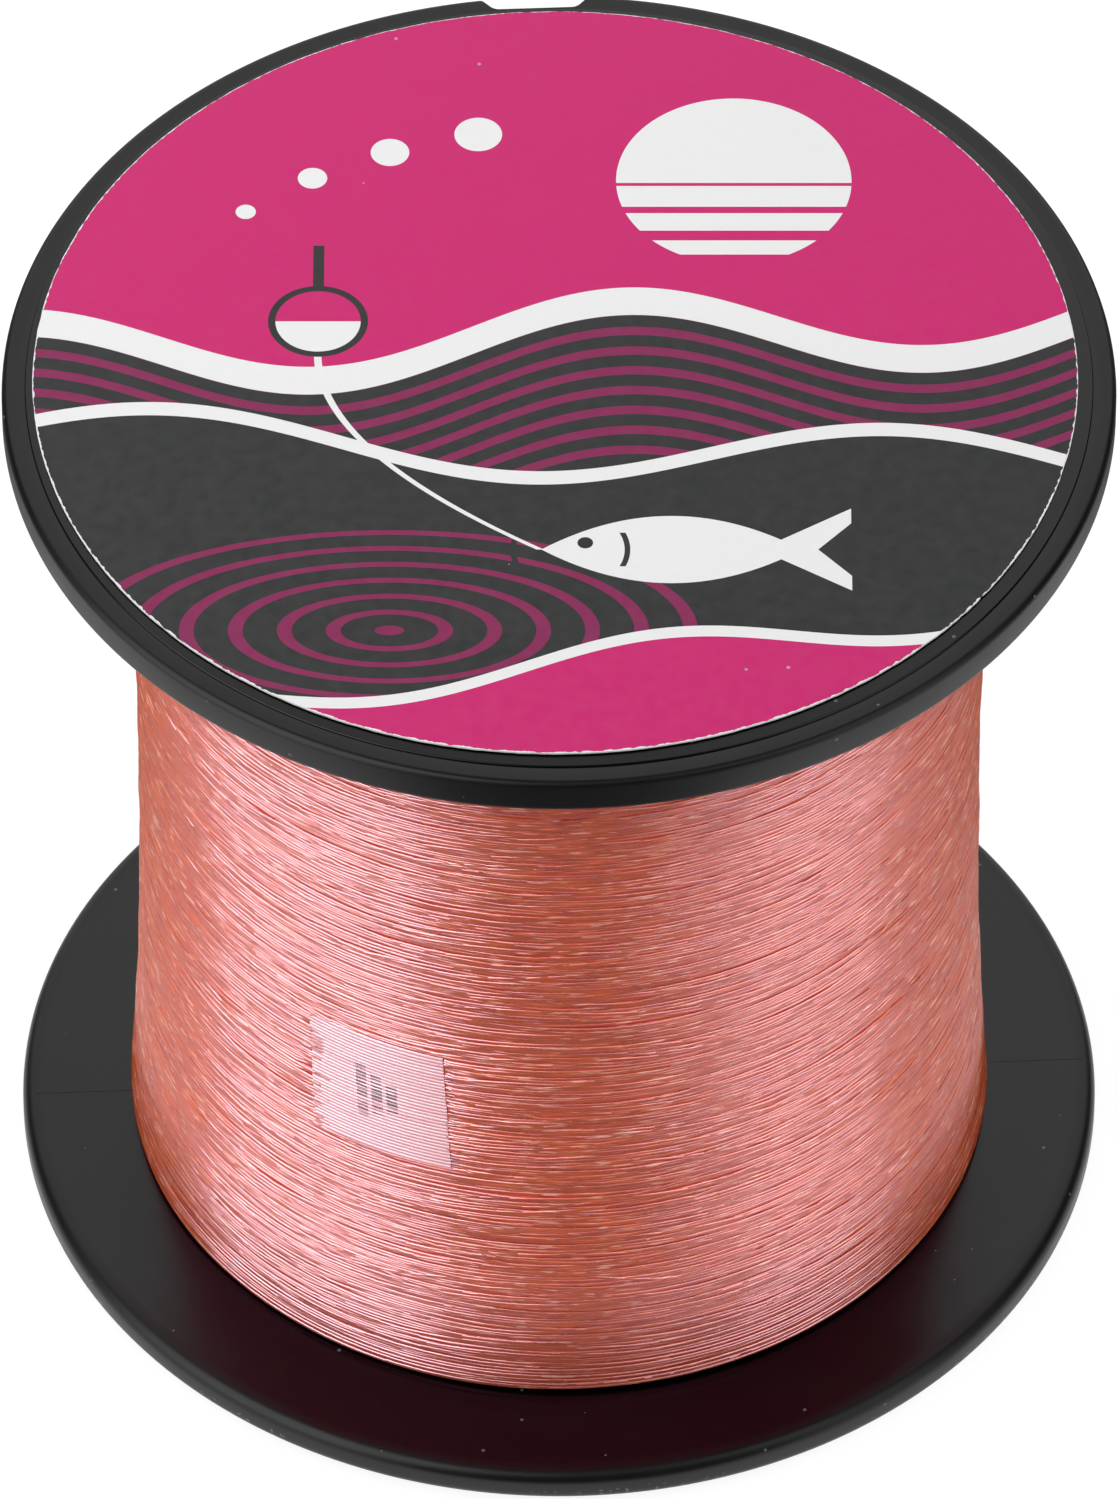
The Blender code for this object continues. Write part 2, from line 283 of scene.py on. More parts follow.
def arc(radius_at, height_at, size, first, last, steps=ARC_STEPS):
    """Points of a rounding about (radius_at, height_at), from one angle to another, in degrees."""
    angles = [math.radians(first + (last - first) * i / steps) for i in range(steps + 1)]
    return [(radius_at + size * math.cos(a), height_at + size * math.sin(a)) for a in angles]


def block(name, low, high):
    """A box between two corners."""
    start_clean()
    bpy.ops.mesh.primitive_cube_add(size=1.0, location=(Vector(low) + Vector(high)) / 2)
    piece = bpy.context.object
    piece.name = name
    piece.scale = Vector(high) - Vector(low)
    bpy.ops.object.transform_apply(location=True, rotation=False, scale=True)
    return piece


def turned_about_axis(piece, angle):
    start_on(piece)
    piece.rotation_euler.z = angle
    bpy.ops.object.transform_apply(location=False, rotation=True, scale=False)
    return piece


def dress(piece, material, node):
    """Gives a new piece its finish and its place in the frame."""
    piece.data.materials.clear()
    piece.data.materials.append(material)
    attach(piece, "root")
    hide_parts(*node)
    return piece


# Spool

def flange_rim(lower, upper, size):
    """The rounded rim of a flange between two heights, from the top down."""
    inset = FLANGE_RADIUS - size
    return arc(inset, upper - size, size, 90, 0) + arc(inset, lower + size, size, 0, -90)


def spool_outline():
    """The moulding's cross-section, down the outside and back up through the hollow barrel."""
    root_round = BARREL_ROOT_ROUND
    root = BARREL_RADIUS + root_round
    step = FACE_RADIUS - STEP_ROUND
    outside = [(SPINDLE_RADIUS, UPPER_FACE)]
    outside += arc(step, UPPER_FACE - STEP_ROUND, STEP_ROUND, 90, 0, STEP_ARC_STEPS)
    outside += [(FACE_RADIUS, UPPER_LAND)]
    outside += flange_rim(UPPER_INNER, UPPER_LAND, UPPER_EDGE_ROUND)
    outside += arc(root, UPPER_INNER - root_round, root_round, 90, 180, BARREL_ARC_STEPS)
    outside += arc(root, LOWER_INNER + root_round, root_round, 180, 270, BARREL_ARC_STEPS)
    outside += flange_rim(LOWER_LAND, LOWER_INNER, LOWER_EDGE_ROUND)
    outside += [(FACE_RADIUS, LOWER_LAND)]
    outside += arc(step, body_low.z + STEP_ROUND, STEP_ROUND, 0, -90, STEP_ARC_STEPS)
    mouth = HOLLOW_RADIUS + HOLLOW_ROUND
    deep = HOLLOW_RADIUS - BARREL_DRAFT
    ceiling = UPPER_INNER - HOLLOW_ROUND
    hollow = arc(mouth, body_low.z + HOLLOW_ROUND, HOLLOW_ROUND, 270, 180, BARREL_ARC_STEPS)
    hollow += arc(deep - HOLLOW_ROUND, ceiling, HOLLOW_ROUND, 0, 90, BARREL_ARC_STEPS)
    hollow += arc(SPINDLE_OUTER + HOLLOW_ROUND, ceiling, HOLLOW_ROUND, 90, 180, BARREL_ARC_STEPS)
    hollow += [
        (SPINDLE_OUTER, SPINDLE_SETBACK + SPINDLE_CHAMFER),
        (SPINDLE_OUTER - SPINDLE_CHAMFER, SPINDLE_SETBACK),
        (SPINDLE_RADIUS + SPINDLE_CHAMFER, SPINDLE_SETBACK),
        (SPINDLE_RADIUS, SPINDLE_SETBACK + SPINDLE_CHAMFER),
    ]
    return outside + hollow


def rib(index):
    """One web from the spindle tube to the barrel, its free lower edge rounded."""
    half = RIB_THICKNESS / 2
    inner = SPINDLE_RADIUS + SPINDLE_WALL / 2
    outer = HOLLOW_RADIUS + BARREL_WALL / 2
    web = block(f"rib_{index}", (inner, -half, RIB_SETBACK), (outer, half, UPPER_INNER + FLANGE_EDGE / 2))

    def long_and_low(edge):
        ends = [web.data.vertices[v].co for v in edge.vertices]
        low = all(abs(end.z - RIB_SETBACK) < TOUCHING for end in ends)
        return low and abs(ends[0].x - ends[1].x) > TOUCHING

    edit_chosen(web, "EDGE", long_and_low, bpy.ops.mesh.bevel, offset=RIB_ROUND, segments=3, affect="EDGES")
    return turned_about_axis(web, 2 * math.pi * index / RIB_COUNT)


def rim_notch():
    """The cutter of the notch through the upper rim, with sloping flanks and soft inner corners."""
    half = NOTCH_WIDTH / 2
    floor = FLANGE_RADIUS - NOTCH_DEPTH
    over = NOTCH_OVERCUT
    tool = block(
        "rim_notch", (-half, floor, UPPER_INNER - over), (half, FLANGE_RADIUS + over, UPPER_FACE + over)
    )
    spread = (NOTCH_DEPTH + over) * math.tan(NOTCH_FLANK)
    half_floor = half - NOTCH_DEPTH * math.tan(NOTCH_FLANK)
    for vertex in tool.data.vertices:
        wide = half_floor + spread if vertex.co.y > FLANGE_RADIUS else half_floor
        vertex.co.x = math.copysign(wide, vertex.co.x)

    def inner_corner(edge):
        ends = [tool.data.vertices[v].co for v in edge.vertices]
        upright = abs(ends[0].z - ends[1].z) > over
        return upright and ends[0].y < FLANGE_RADIUS

    edit_chosen(
        tool, "EDGE", inner_corner, bpy.ops.mesh.bevel, offset=NOTCH_CORNER, segments=4, affect="EDGES"
    )
    return tool


def split_line(side, inner_face, into_groove):
    """The fine raised line that the two mould halves leave across a flange's inner face."""
    half = SPLIT_LINE_WIDTH / 2
    reach = sorted((side * BARREL_RADIUS, side * (FLANGE_RADIUS - LOWER_EDGE_ROUND)))
    rise = sorted((inner_face - into_groove * SPLIT_LINE_ROOT, inner_face + into_groove * SPLIT_LINE_HEIGHT))
    return block("split_line", (reach[0], -half, rise[0]), (reach[1], half, rise[1]))


def spool_moulding():
    piece = spun("spool_moulding", spool_outline())
    for index in range(RIB_COUNT):
        cut(piece, rib(index), "UNION")
    for side in (-1, 1):
        cut(piece, split_line(side, LOWER_INNER, 1), "UNION")
        cut(piece, split_line(side, UPPER_INNER, -1), "UNION")
    cut(piece, rim_notch(), "DIFFERENCE")
    smooth(piece)
    return piece


# Label

def label_disc():
    """A die-cut card disc with a soft upper edge and a slightly ragged outline."""
    start_clean()
    middle = (0, 0, LABEL_TOP - LABEL_THICKNESS / 2)
    bpy.ops.mesh.primitive_cylinder_add(
        vertices=LABEL_POINTS, radius=LABEL_RADIUS, depth=LABEL_THICKNESS, location=middle
    )
    piece = bpy.context.object
    piece.name = "label_disc"
    bpy.ops.object.transform_apply(location=True, rotation=False, scale=False)
    rng = np.random.default_rng(LABEL_SEED)
    rough = rng.normal(0.0, 1.0, LABEL_POINTS + LABEL_RAG_BLEND - 1)
    ragged = np.convolve(rough, np.ones(LABEL_RAG_BLEND) / LABEL_RAG_BLEND, "valid")
    for vertex in piece.data.vertices:
        turn = math.atan2(vertex.co.y, vertex.co.x)
        place = int(round(turn / (2 * math.pi) * LABEL_POINTS)) % LABEL_POINTS
        scale = 1.0 - LABEL_RAG * abs(ragged[place]) / LABEL_RADIUS
        vertex.co.x *= scale
        vertex.co.y *= scale

    def on_top(face):
        return face.normal.z > FACING_UP

    edit_chosen(piece, "FACE", on_top, bpy.ops.mesh.inset, thickness=LABEL_EDGE_WIDTH)
    for vertex in piece.data.vertices:
        outer = math.hypot(vertex.co.x, vertex.co.y) > LABEL_RADIUS - LABEL_RAG_LIMIT
        if outer and vertex.co.z > LABEL_TOP - TOUCHING:
            vertex.co.z -= LABEL_EDGE_DROP
        vertex.co.x += LABEL_SHIFT[0]
        vertex.co.y += LABEL_SHIFT[1]
    smooth(piece)
    return piece


# Winding

def winding_radius(height):
    """Outer radius of the winding: waisted, heaped towards the flanges, with rounded shoulders."""
    away = np.abs(height - WINDING_MIDDLE) / WINDING_HALF
    radius = WAIST_RADIUS + END_SWELL * away**2
    to_end = np.clip((1.0 - away) * WINDING_HALF, 0.0, SHOULDER)
    return radius - (SHOULDER - np.sqrt(SHOULDER**2 - (SHOULDER - to_end) ** 2))


def unevenness(angle, height):
    """Low swells over the winding, where the line has heaped a little."""
    z = height / MM
    return SWELL_HEIGHT * sum(s.size * np.sin(s.waves * angle + s.lean * z + s.start) for s in SWELLS)


def drift(rng, count, spacing, size):
    """Smooth random numbers along the line, with a new value after each spacing of points."""
    knots = rng.normal(0.0, size, count // spacing + 3)
    rough = np.interp(np.arange(count) / spacing, np.arange(len(knots)), knots)
    window = np.hanning(spacing + 2)
    return np.convolve(rough, window / window.sum(), "same")


def in_seal(angle, height, margin=0.0, from_left=0.0):
    """Where the seal lies, as True or False for each point."""
    up = height - SEAL_MIDDLE
    aside = (np.mod(angle - SEAL_ANGLE + math.pi, 2 * math.pi) - math.pi) * WAIST_RADIUS - SEAL_LEAN * up
    wide = (aside > -SEAL_HALF_WIDTH - margin + from_left) & (aside < SEAL_HALF_WIDTH + margin)
    return wide & (np.abs(up) < SEAL_HALF_HEIGHT + margin)


def strand_route(layer, order):
    """Points of one layer of the line, wound up the spool or down again, as angles, heights and radii."""
    rng = np.random.default_rng(STRAND_SEED + order)
    count = layer.turns * layer.points + 1
    along = np.arange(count) / (count - 1)
    angle = 2 * math.pi * layer.turns * along + STRAND_START + order
    rising = along if order % 2 == 0 else 1.0 - along
    low = WINDING_LOW + STRAND_DIAMETER / 2
    high = WINDING_HIGH - STRAND_DIAMETER / 2
    step = 2 * math.pi * WAIST_RADIUS / layer.points
    height = low + (high - low) * rising
    from_end = np.minimum(height - low, high - height)
    calm = np.clip(CALM_LEAST + (1.0 - CALM_LEAST) * from_end / CALM_REACH, CALM_LEAST, 1.0)
    height += calm * drift(rng, count, round(layer.stretch / step), layer.wander)
    height = np.clip(height, low, high)
    radius = winding_radius(height) + unevenness(angle, height) - STRAND_DIAMETER / 2 - layer.depth
    radius += calm * drift(rng, count, round(HEAVE_STRETCH / step), layer.heave)
    if order < LAYERS_UNDER_SEAL:
        covered = rng.uniform(0.0, SEAL_OVERLAP, layer.turns + 1)[np.arange(count) // layer.points]
        radius -= SEAL_POCKET * in_seal(angle, height, from_left=covered)
    return angle, height, radius


def strand_layer(layer, order):
    """One layer of the wound line as a single tube, with a flat map of its turns for the bake."""
    angle, height, radius = strand_route(layer, order)
    out = np.stack([np.cos(angle), np.sin(angle), np.zeros_like(angle)], axis=1)
    centre = out * radius[:, None]
    centre[:, 2] = height
    along = np.gradient(centre, axis=0)
    along /= np.linalg.norm(along, axis=1)[:, None]
    up = np.cross(out, along)
    up /= np.linalg.norm(up, axis=1)[:, None]
    turns = 2 * math.pi * np.arange(STRAND_SIDES) / STRAND_SIDES
    ring = np.cos(turns)[None, :, None] * out[:, None, :] + np.sin(turns)[None, :, None] * up[:, None, :]
    places = centre[:, None, :] + STRAND_DIAMETER / 2 * ring

    count = len(angle)
    point, side = np.divmod(np.arange((count - 1) * STRAND_SIDES), STRAND_SIDES)
    here = point * STRAND_SIDES
    there = here + STRAND_SIDES
    beside = (side + 1) % STRAND_SIDES
    quads = np.stack([here + side, here + beside, there + beside, there + side], axis=1)
    caps = [list(range(STRAND_SIDES))[::-1], list(range((count - 1) * STRAND_SIDES, count * STRAND_SIDES))]
    mesh = bpy.data.meshes.new(layer.name)
    mesh.from_pydata(places.reshape(-1, 3).tolist(), [], quads.tolist() + caps)

    turn, place = np.divmod(point, layer.points)
    across = (turn + np.array([side, side + 1, side + 1, side]) / STRAND_SIDES) / layer.turns
    round_turn = np.array([place, place, place + 1, place + 1]) / layer.points
    flat = np.zeros((len(mesh.loops), 2))
    flat[: quads.size] = np.stack([round_turn.T, across.T], axis=2).reshape(-1, 2)
    mesh.uv_layers.new(name="OFBake").data.foreach_set("uv", flat.ravel())
    mesh.update()
    piece = bpy.data.objects.new(layer.name, mesh)
    bpy.context.scene.collection.objects.link(piece)
    smooth(piece, STRAND_SMOOTH_ANGLE)
    return piece


def clear_over_seal(piece, material):
    """Gives the strands that cross the seal the finish that lets it show."""
    piece.data.materials.append(material)
    centres = np.zeros(len(piece.data.polygons) * 3)
    piece.data.polygons.foreach_get("center", centres)
    x, y, z = centres.reshape(-1, 3).T
    crossing = in_seal(np.arctan2(y, x), z, SEAL_MARGIN)
    piece.data.polygons.foreach_set("material_index", crossing.astype(np.int32))
    piece.data.update()


def wound_core(name, low, high, inner, outer_at):
    """A turned core of packed line under the strands."""
    heights = [high + (low - high) * i / CORE_STEPS for i in range(CORE_STEPS + 1)]
    outline = [(float(outer_at(np.array(z))), z) for z in heights] + [(inner, low), (inner, high)]
    piece = spun(name, outline, CORE_SPIN_STEPS)
    smooth(piece)
    return piece


def length_seal():
    """The seal, a thin film bent round the winding under its outer layer, which presses ridges into it."""
    start_clean()
    rows = RIDGE_ROWS * SEAL_RIDGES
    bpy.ops.mesh.primitive_grid_add(x_subdivisions=SEAL_COLUMNS, y_subdivisions=rows, size=2.0)
    piece = bpy.context.object
    piece.name = "length_seal_200m"
    bed = SEAL_DEPTH + SEAL_THICKNESS
    for vertex in piece.data.vertices:
        up = vertex.co.y * SEAL_HALF_HEIGHT
        turn = SEAL_ANGLE + (vertex.co.x * SEAL_HALF_WIDTH + SEAL_LEAN * up) / WAIST_RADIUS
        height = SEAL_MIDDLE + up
        off_ridge = 2 * ((vertex.co.y + 1.0) / 2 * SEAL_RIDGES % 1.0) - 1.0
        ridge = SEAL_RIDGE * (math.sqrt(1.0 - RIDGE_FULLNESS * off_ridge**2) - 1.0)
        radius = float(winding_radius(np.array(height)) + unevenness(turn, height)) - bed + ridge
        vertex.co = (radius * math.cos(turn), radius * math.sin(turn), height)
    apply_modifier(piece, "SOLIDIFY", thickness=SEAL_THICKNESS, offset=1.0)
    smooth(piece, SEAL_SMOOTH_ANGLE)
    return piece


# Finishes

class Nodes:
    """A node tree, with short ways to add and join its nodes."""

    def __init__(self, tree):
        self.tree = tree

    def add(self, kind, **settings):
        node = self.tree.nodes.new("ShaderNode" + kind)
        for name, value in settings.items():
            setattr(node, name, value)
        return node

    def plug(self, value, socket):
        if isinstance(value, bpy.types.NodeSocket):
            self.tree.links.new(value, socket)
        else:
            socket.default_value = value

    def math(self, operation, *values):
        node = self.add("Math", operation=operation)
        for value, socket in zip(values, node.inputs):
            self.plug(value, socket)
        return node.outputs[0]

    def vector_math(self, operation, *values, output="Vector"):
        node = self.add("VectorMath", operation=operation)
        for value, socket in zip(values, node.inputs):
            self.plug(value, socket)
        return node.outputs[output]

    def parts(self, vector):
        node = self.add("SeparateXYZ")
        self.plug(vector, node.inputs[0])
        return node.outputs

    def joined(self, *values):
        node = self.add("CombineXYZ")
        for value, socket in zip(values, node.inputs):
            self.plug(value, socket)
        return node.outputs[0]

    def noise(self, vector, scale, detail=2.0):
        node = self.add("TexNoise")
        for value, name in ((vector, "Vector"), (scale, "Scale"), (detail, "Detail")):
            self.plug(value, node.inputs[name])
        return node.outputs["Fac"]

    def span(self, value, low, high, to_low=0.0, to_high=1.0):
        """Maps the range from low to high onto another one, and holds its ends."""
        node = self.add("MapRange")
        for item, socket in zip((value, low, high, to_low, to_high), node.inputs):
            self.plug(item, socket)
        return node.outputs[0]

    def eased(self, value, low, high):
        node = self.add("MapRange", interpolation_type="SMOOTHSTEP")
        for item, socket in zip((value, low, high), node.inputs):
            self.plug(item, socket)
        return node.outputs[0]

    def mix(self, share, first, second):
        node = self.add("Mix", data_type="RGBA")
        self.plug(share, node.inputs[0])
        for colour, socket in ((first, node.inputs[6]), (second, node.inputs[7])):
            self.plug(colour if isinstance(colour, bpy.types.NodeSocket) else (*colour, 1.0), socket)
        return node.outputs[2]

    def all_of(self, *masks):
        total = masks[0]
        for mask in masks[1:]:
            total = self.math("MULTIPLY", total, mask)
        return total

    def less_far(self, value, limit):
        """1 where a value lies within a limit of nought."""
        return self.math("LESS_THAN", self.math("ABSOLUTE", value), limit)

    def any_of(self, *masks):
        total = masks[0]
        for mask in masks[1:]:
            total = self.math("MAXIMUM", total, mask)
        return total

    def seen_directly(self):
        """1 for the rays that show the background: from the camera, a mirror or through glass."""
        path = self.add("LightPath").outputs
        return self.any_of(path["Is Camera Ray"], path["Is Glossy Ray"], path["Is Transmission Ray"])


class Finish(Nodes):
    """A material on a piece, placed by Object coordinates."""

    def __init__(self, name):
        self.material = bpy.data.materials.new(name)
        self.material.use_nodes = True
        super().__init__(self.material.node_tree)
        self.shader = self.tree.nodes["Principled BSDF"]
        self.place = self.add("TexCoord").outputs["Object"]

    def set(self, **values):
        for name, value in values.items():
            self.plug(value, self.shader.inputs[name.replace("_", " ")])

    def mapped(self, scale, turn):
        """The place, scaled and turned about the axis."""
        node = self.add("Mapping")
        self.plug(self.place, node.inputs["Vector"])
        node.inputs["Scale"].default_value = (scale, scale, scale)
        node.inputs["Rotation"].default_value = (0.0, 0.0, turn)
        return node.outputs[0]

    def from_axis(self):
        level = self.vector_math("MULTIPLY", self.place, (1.0, 1.0, 0.0))
        return self.vector_math("LENGTH", level, output="Value")

    def effect(self, group, **values):
        node = self.add("Group", node_tree=group)
        self.plug(self.place, node.inputs["Place"])
        for name, value in values.items():
            self.plug(value, node.inputs[name.replace("_", " ")])
        return node.outputs

    def bump(self, height, strength, distance):
        node = self.add("Bump")
        node.inputs["Strength"].default_value = strength
        node.inputs["Distance"].default_value = distance
        self.plug(height, node.inputs["Height"])
        self.plug(node.outputs[0], self.shader.inputs["Normal"])


def effect_group(name, numbers, masks):
    """An empty effect that materials share: a place and some numbers go in, masks come out."""
    group = bpy.data.node_groups.new(name, "ShaderNodeTree")
    group.interface.new_socket("Place", in_out="INPUT", socket_type="NodeSocketVector")
    for number in numbers:
        group.interface.new_socket(number, in_out="INPUT", socket_type="NodeSocketFloat")
    for mask in masks:
        group.interface.new_socket(mask, in_out="OUTPUT", socket_type="NodeSocketFloat")
    given = group.nodes.new("NodeGroupInput").outputs
    wanted = group.nodes.new("NodeGroupOutput").inputs
    return group, Nodes(group), given, wanted


NOISE_SPAN = (0.3, 0.7)
GLINT_SHIFT = (3.7, 1.9, 8.3)
GLINT_STRETCH = (1.5, 1.5, 2.2)
DUST_DOTS = (0.03, 0.10)


def strand_streaks():
    """Streaks that lie along the turns: broad ones of tone, and short ones that catch the light."""
    group, n, given, wanted = effect_group("strand_streaks", ("Along", "Across"), ("Tone", "Glint"))
    stretch = n.joined(given["Along"], given["Along"], given["Across"])
    spread = n.vector_math("MULTIPLY", given["Place"], stretch)
    n.plug(n.span(n.noise(spread, scale=1.0), *NOISE_SPAN), wanted["Tone"])
    shifted = n.vector_math("ADD", spread, GLINT_SHIFT)
    shorter = n.vector_math("MULTIPLY", shifted, GLINT_STRETCH)
    n.plug(n.noise(shorter, scale=1.0, detail=1.0), wanted["Glint"])
    return group


def settled_dust():
    """Sparse specks of dust, each a dot of its own size."""
    group, n, given, wanted = effect_group("settled_dust", ("Spread", "Share"), ("Speck",))
    cells = n.add("TexVoronoi")
    n.plug(given["Place"], cells.inputs["Vector"])
    n.plug(given["Spread"], cells.inputs["Scale"])
    chance, size, _ = n.parts(cells.outputs["Color"])
    dot = n.math("LESS_THAN", cells.outputs["Distance"], n.span(size, 0.0, 1.0, *DUST_DOTS))
    n.plug(n.all_of(dot, n.math("LESS_THAN", chance, given["Share"])), wanted["Speck"])
    return group


PLASTIC = (0.0007, 0.0007, 0.0009)
WORN_PLASTIC = (0.22, 0.22, 0.22)
SATIN_EDGE = (FLANGE_RADIUS - 1.3 * MM, FLANGE_RADIUS - 0.7 * MM)
SCUFFED_EDGE = (FLANGE_RADIUS - 0.4 * MM, FLANGE_RADIUS - 0.05 * MM)
STOOD_ON_HEIGHT = LOWER_LAND + 0.9 * MM
GLOSS_ROUGHNESS = (0.18, 0.25)
SATIN_ROUGHNESS = 0.16
SCUFF_SHARE = 0.7
SPECK_SHARE = 0.45


def black_plastic(dust):
    """Glossy moulded plastic with satin rims, a little dust, and scuffs on the edge that it stands on."""
    f = Finish("black_plastic")
    speck = f.effect(dust, Spread=900.0, Share=0.30)["Speck"]
    out = f.from_axis()
    satin = f.span(out, *SATIN_EDGE)
    rim = f.span(out, *SCUFFED_EDGE)
    stood_on = f.math("LESS_THAN", f.parts(f.place)[2], STOOD_ON_HEIGHT)
    handled = f.span(f.noise(f.place, scale=70.0), 0.45, 0.55)
    scratch = f.span(f.noise(f.place, scale=2600.0, detail=4.0), 0.58, 0.66)
    scuff = f.all_of(rim, stood_on, handled, scratch)
    gloss = f.span(f.noise(f.place, scale=260.0, detail=3.0), *NOISE_SPAN, *GLOSS_ROUGHNESS)
    worn = f.any_of(f.math("MULTIPLY", scuff, SCUFF_SHARE), f.math("MULTIPLY", speck, SPECK_SHARE))
    f.set(
        Base_Color=f.mix(worn, PLASTIC, WORN_PLASTIC),
        Roughness=f.math("MULTIPLY_ADD", f.any_of(satin, scuff), SATIN_ROUGHNESS, gloss),
        IOR=1.45,
    )
    f.bump(f.noise(f.place, scale=900.0), strength=0.02, distance=0.05 * MM)
    return f.material


MAGENTA = (0.55, 0.017, 0.148)
CHARCOAL = (0.026, 0.027, 0.027)
CARD = (0.79, 0.79, 0.79)
MAROON = (0.22, 0.018, 0.085)
MOTTLE = (0.35, 0.33, 0.34)
MOTTLE_SHARE = 0.025
LABEL_DUST = (0.5, 0.5, 0.5)
BARE_EDGE = (LABEL_RADIUS / MM - 0.02, LABEL_RADIUS / MM - 0.10)


class LabelArt(Finish):
    """Flat artwork in millimetres from the label's centre, with x to the right and y to the top."""

    def __init__(self, name):
        super().__init__(name)
        self.x, self.y, _ = self.parts(self.mapped(1 / MM, PHOTO_TURN))
        self.colour = self.mix(0.0, MAGENTA, MAGENTA)

    def ink(self, mask, colour):
        self.colour = self.mix(mask, self.colour, colour)

    def less(self, first, second):
        return self.math("LESS_THAN", first, second)

    def from_point(self, x, y):
        return self.math("SUBTRACT", self.x, x), self.math("SUBTRACT", self.y, y)

    def reach(self, x, y, flat=1.0):
        """Distance from a point, measured more steeply up and down where flat is above 1."""
        dx, dy = self.from_point(x, y)
        dy = self.math("MULTIPLY", dy, flat)
        squares = self.math("ADD", self.math("MULTIPLY", dx, dx), self.math("MULTIPLY", dy, dy))
        return self.math("SQRT", squares)

    def disc(self, x, y, size):
        return self.less(self.reach(x, y), size)

    def depth_under_wave(self, level, tilt, size, pace, phase):
        swell = self.math("SINE", self.math("MULTIPLY_ADD", self.x, pace, phase))
        crest = self.math("MULTIPLY_ADD", swell, size, self.math("MULTIPLY_ADD", self.x, tilt, level))
        return self.math("SUBTRACT", crest, self.y)

    def near(self, x, limit):
        """1 within a limit to the left or right of x."""
        return self.less_far(self.math("SUBTRACT", self.x, x), limit)

    def within(self, value, low, high):
        return self.all_of(self.less(low, value), self.less(value, high))

    def stripes(self, value, pitch, share):
        return self.less(self.math("FRACT", self.math("DIVIDE", value, pitch)), share)


def label_print(dust):
    """Printed card: a low sun, rolling waves, a float and a fish in four inks, and a bare die-cut edge."""
    f = LabelArt("label_print")
    sun = f.disc(9.5, 15.0, 6.4)
    slit = f.stripes(f.math("SUBTRACT", f.y, 8.3), pitch=2.1, share=f.span(f.y, 8.3, 16.5, 0.55, 0.0))
    f.ink(f.all_of(sun, f.math("SUBTRACT", 1.0, slit)), CARD)
    for x, y, size in ((-17.0, 12.6, 0.55), (-13.4, 15.2, 0.8), (-9.2, 17.2, 1.05), (-4.4, 18.6, 1.3)):
        f.ink(f.disc(x, y, size), CARD)

    rollers = f.depth_under_wave(level=4.0, tilt=0.05, size=2.6, pace=0.19, phase=0.9)
    f.ink(f.less(0.0, rollers), CARD)
    f.ink(f.less(2.1, rollers), f.mix(f.stripes(rollers, pitch=1.5, share=0.42), CHARCOAL, MAROON))
    sea = f.depth_under_wave(level=-5.0, tilt=-0.04, size=2.2, pace=0.16, phase=-1.3)
    f.ink(f.less(0.0, sea), CARD)
    f.ink(f.less(1.0, sea), CHARCOAL)
    rings = f.reach(-9.0, -19.0, flat=2.2)
    banded = f.stripes(rings, pitch=2.6, share=0.3)
    f.ink(f.all_of(f.less(2.6, sea), banded, f.less(rings, 17.0)), MAROON)
    shore = f.depth_under_wave(level=-21.0, tilt=0.16, size=1.3, pace=0.22, phase=0.4)
    f.ink(f.less(0.0, shore), CARD)
    f.ink(f.less(0.8, shore), MAGENTA)

    dx, dy = f.from_point(6.0, -13.0)
    off_spine = f.math("ABSOLUTE", dy)
    body = f.less(off_spine, f.math("MULTIPLY_ADD", f.math("MULTIPLY", dx, dx), -0.052, 2.5))
    tail = f.all_of(f.within(dx, 5.4, 9.6), f.less(off_spine, f.math("MULTIPLY_ADD", dx, 0.62, -2.9)))
    fork = f.less(off_spine, f.math("MULTIPLY_ADD", dx, 1.1, -8.6))
    f.ink(f.any_of(body, f.all_of(tail, f.math("SUBTRACT", 1.0, fork))), CARD)
    f.ink(f.disc(1.4, -12.5, 0.42), CHARCOAL)
    gill = f.within(f.reach(0.6, -13.0), 2.9, 3.2)
    f.ink(f.all_of(gill, f.less(off_spine, 1.25), f.less(dx, 0.0)), CHARCOAL)

    float_x = -13.0
    float_y = 4.2
    lead_top = 1.8
    lead_end = -13.0
    drop = f.math("MULTIPLY", f.math("SUBTRACT", lead_top, f.y), 1 / (lead_top - lead_end))
    lead = f.math("MULTIPLY_ADD", f.math("MULTIPLY", drop, drop), 12.0, float_x)
    f.ink(f.all_of(f.near(lead, 0.2), f.within(f.y, lead_end, lead_top)), CARD)
    stick = f.all_of(f.near(float_x, 0.3), f.within(f.y, 4.0, 10.0))
    f.ink(f.any_of(stick, f.disc(float_x, float_y, 2.7)), CHARCOAL)
    f.ink(f.disc(float_x, float_y, 2.3), f.mix(f.less(float_y, f.y), CARD, MAGENTA))

    bare_from = f.span(f.noise(f.place, scale=2500.0), 0.35, 0.65, *BARE_EDGE)
    f.ink(f.less(bare_from, f.reach(LABEL_SHIFT[0] / MM, LABEL_SHIFT[1] / MM)), CARD)
    mottle = f.span(f.noise(f.place, scale=1400.0, detail=3.0), *NOISE_SPAN, 0.0, MOTTLE_SHARE)
    f.ink(mottle, MOTTLE)
    speck = f.effect(dust, Spread=900.0, Share=0.05)["Speck"]
    f.ink(f.math("MULTIPLY", speck, 0.6), LABEL_DUST)
    f.set(Base_Color=f.colour, Roughness=f.span(mottle, 0.0, MOTTLE_SHARE, 0.42, 0.55), IOR=1.25)
    f.bump(f.noise(f.place, scale=3000.0), strength=0.05, distance=0.05 * MM)
    return f.material


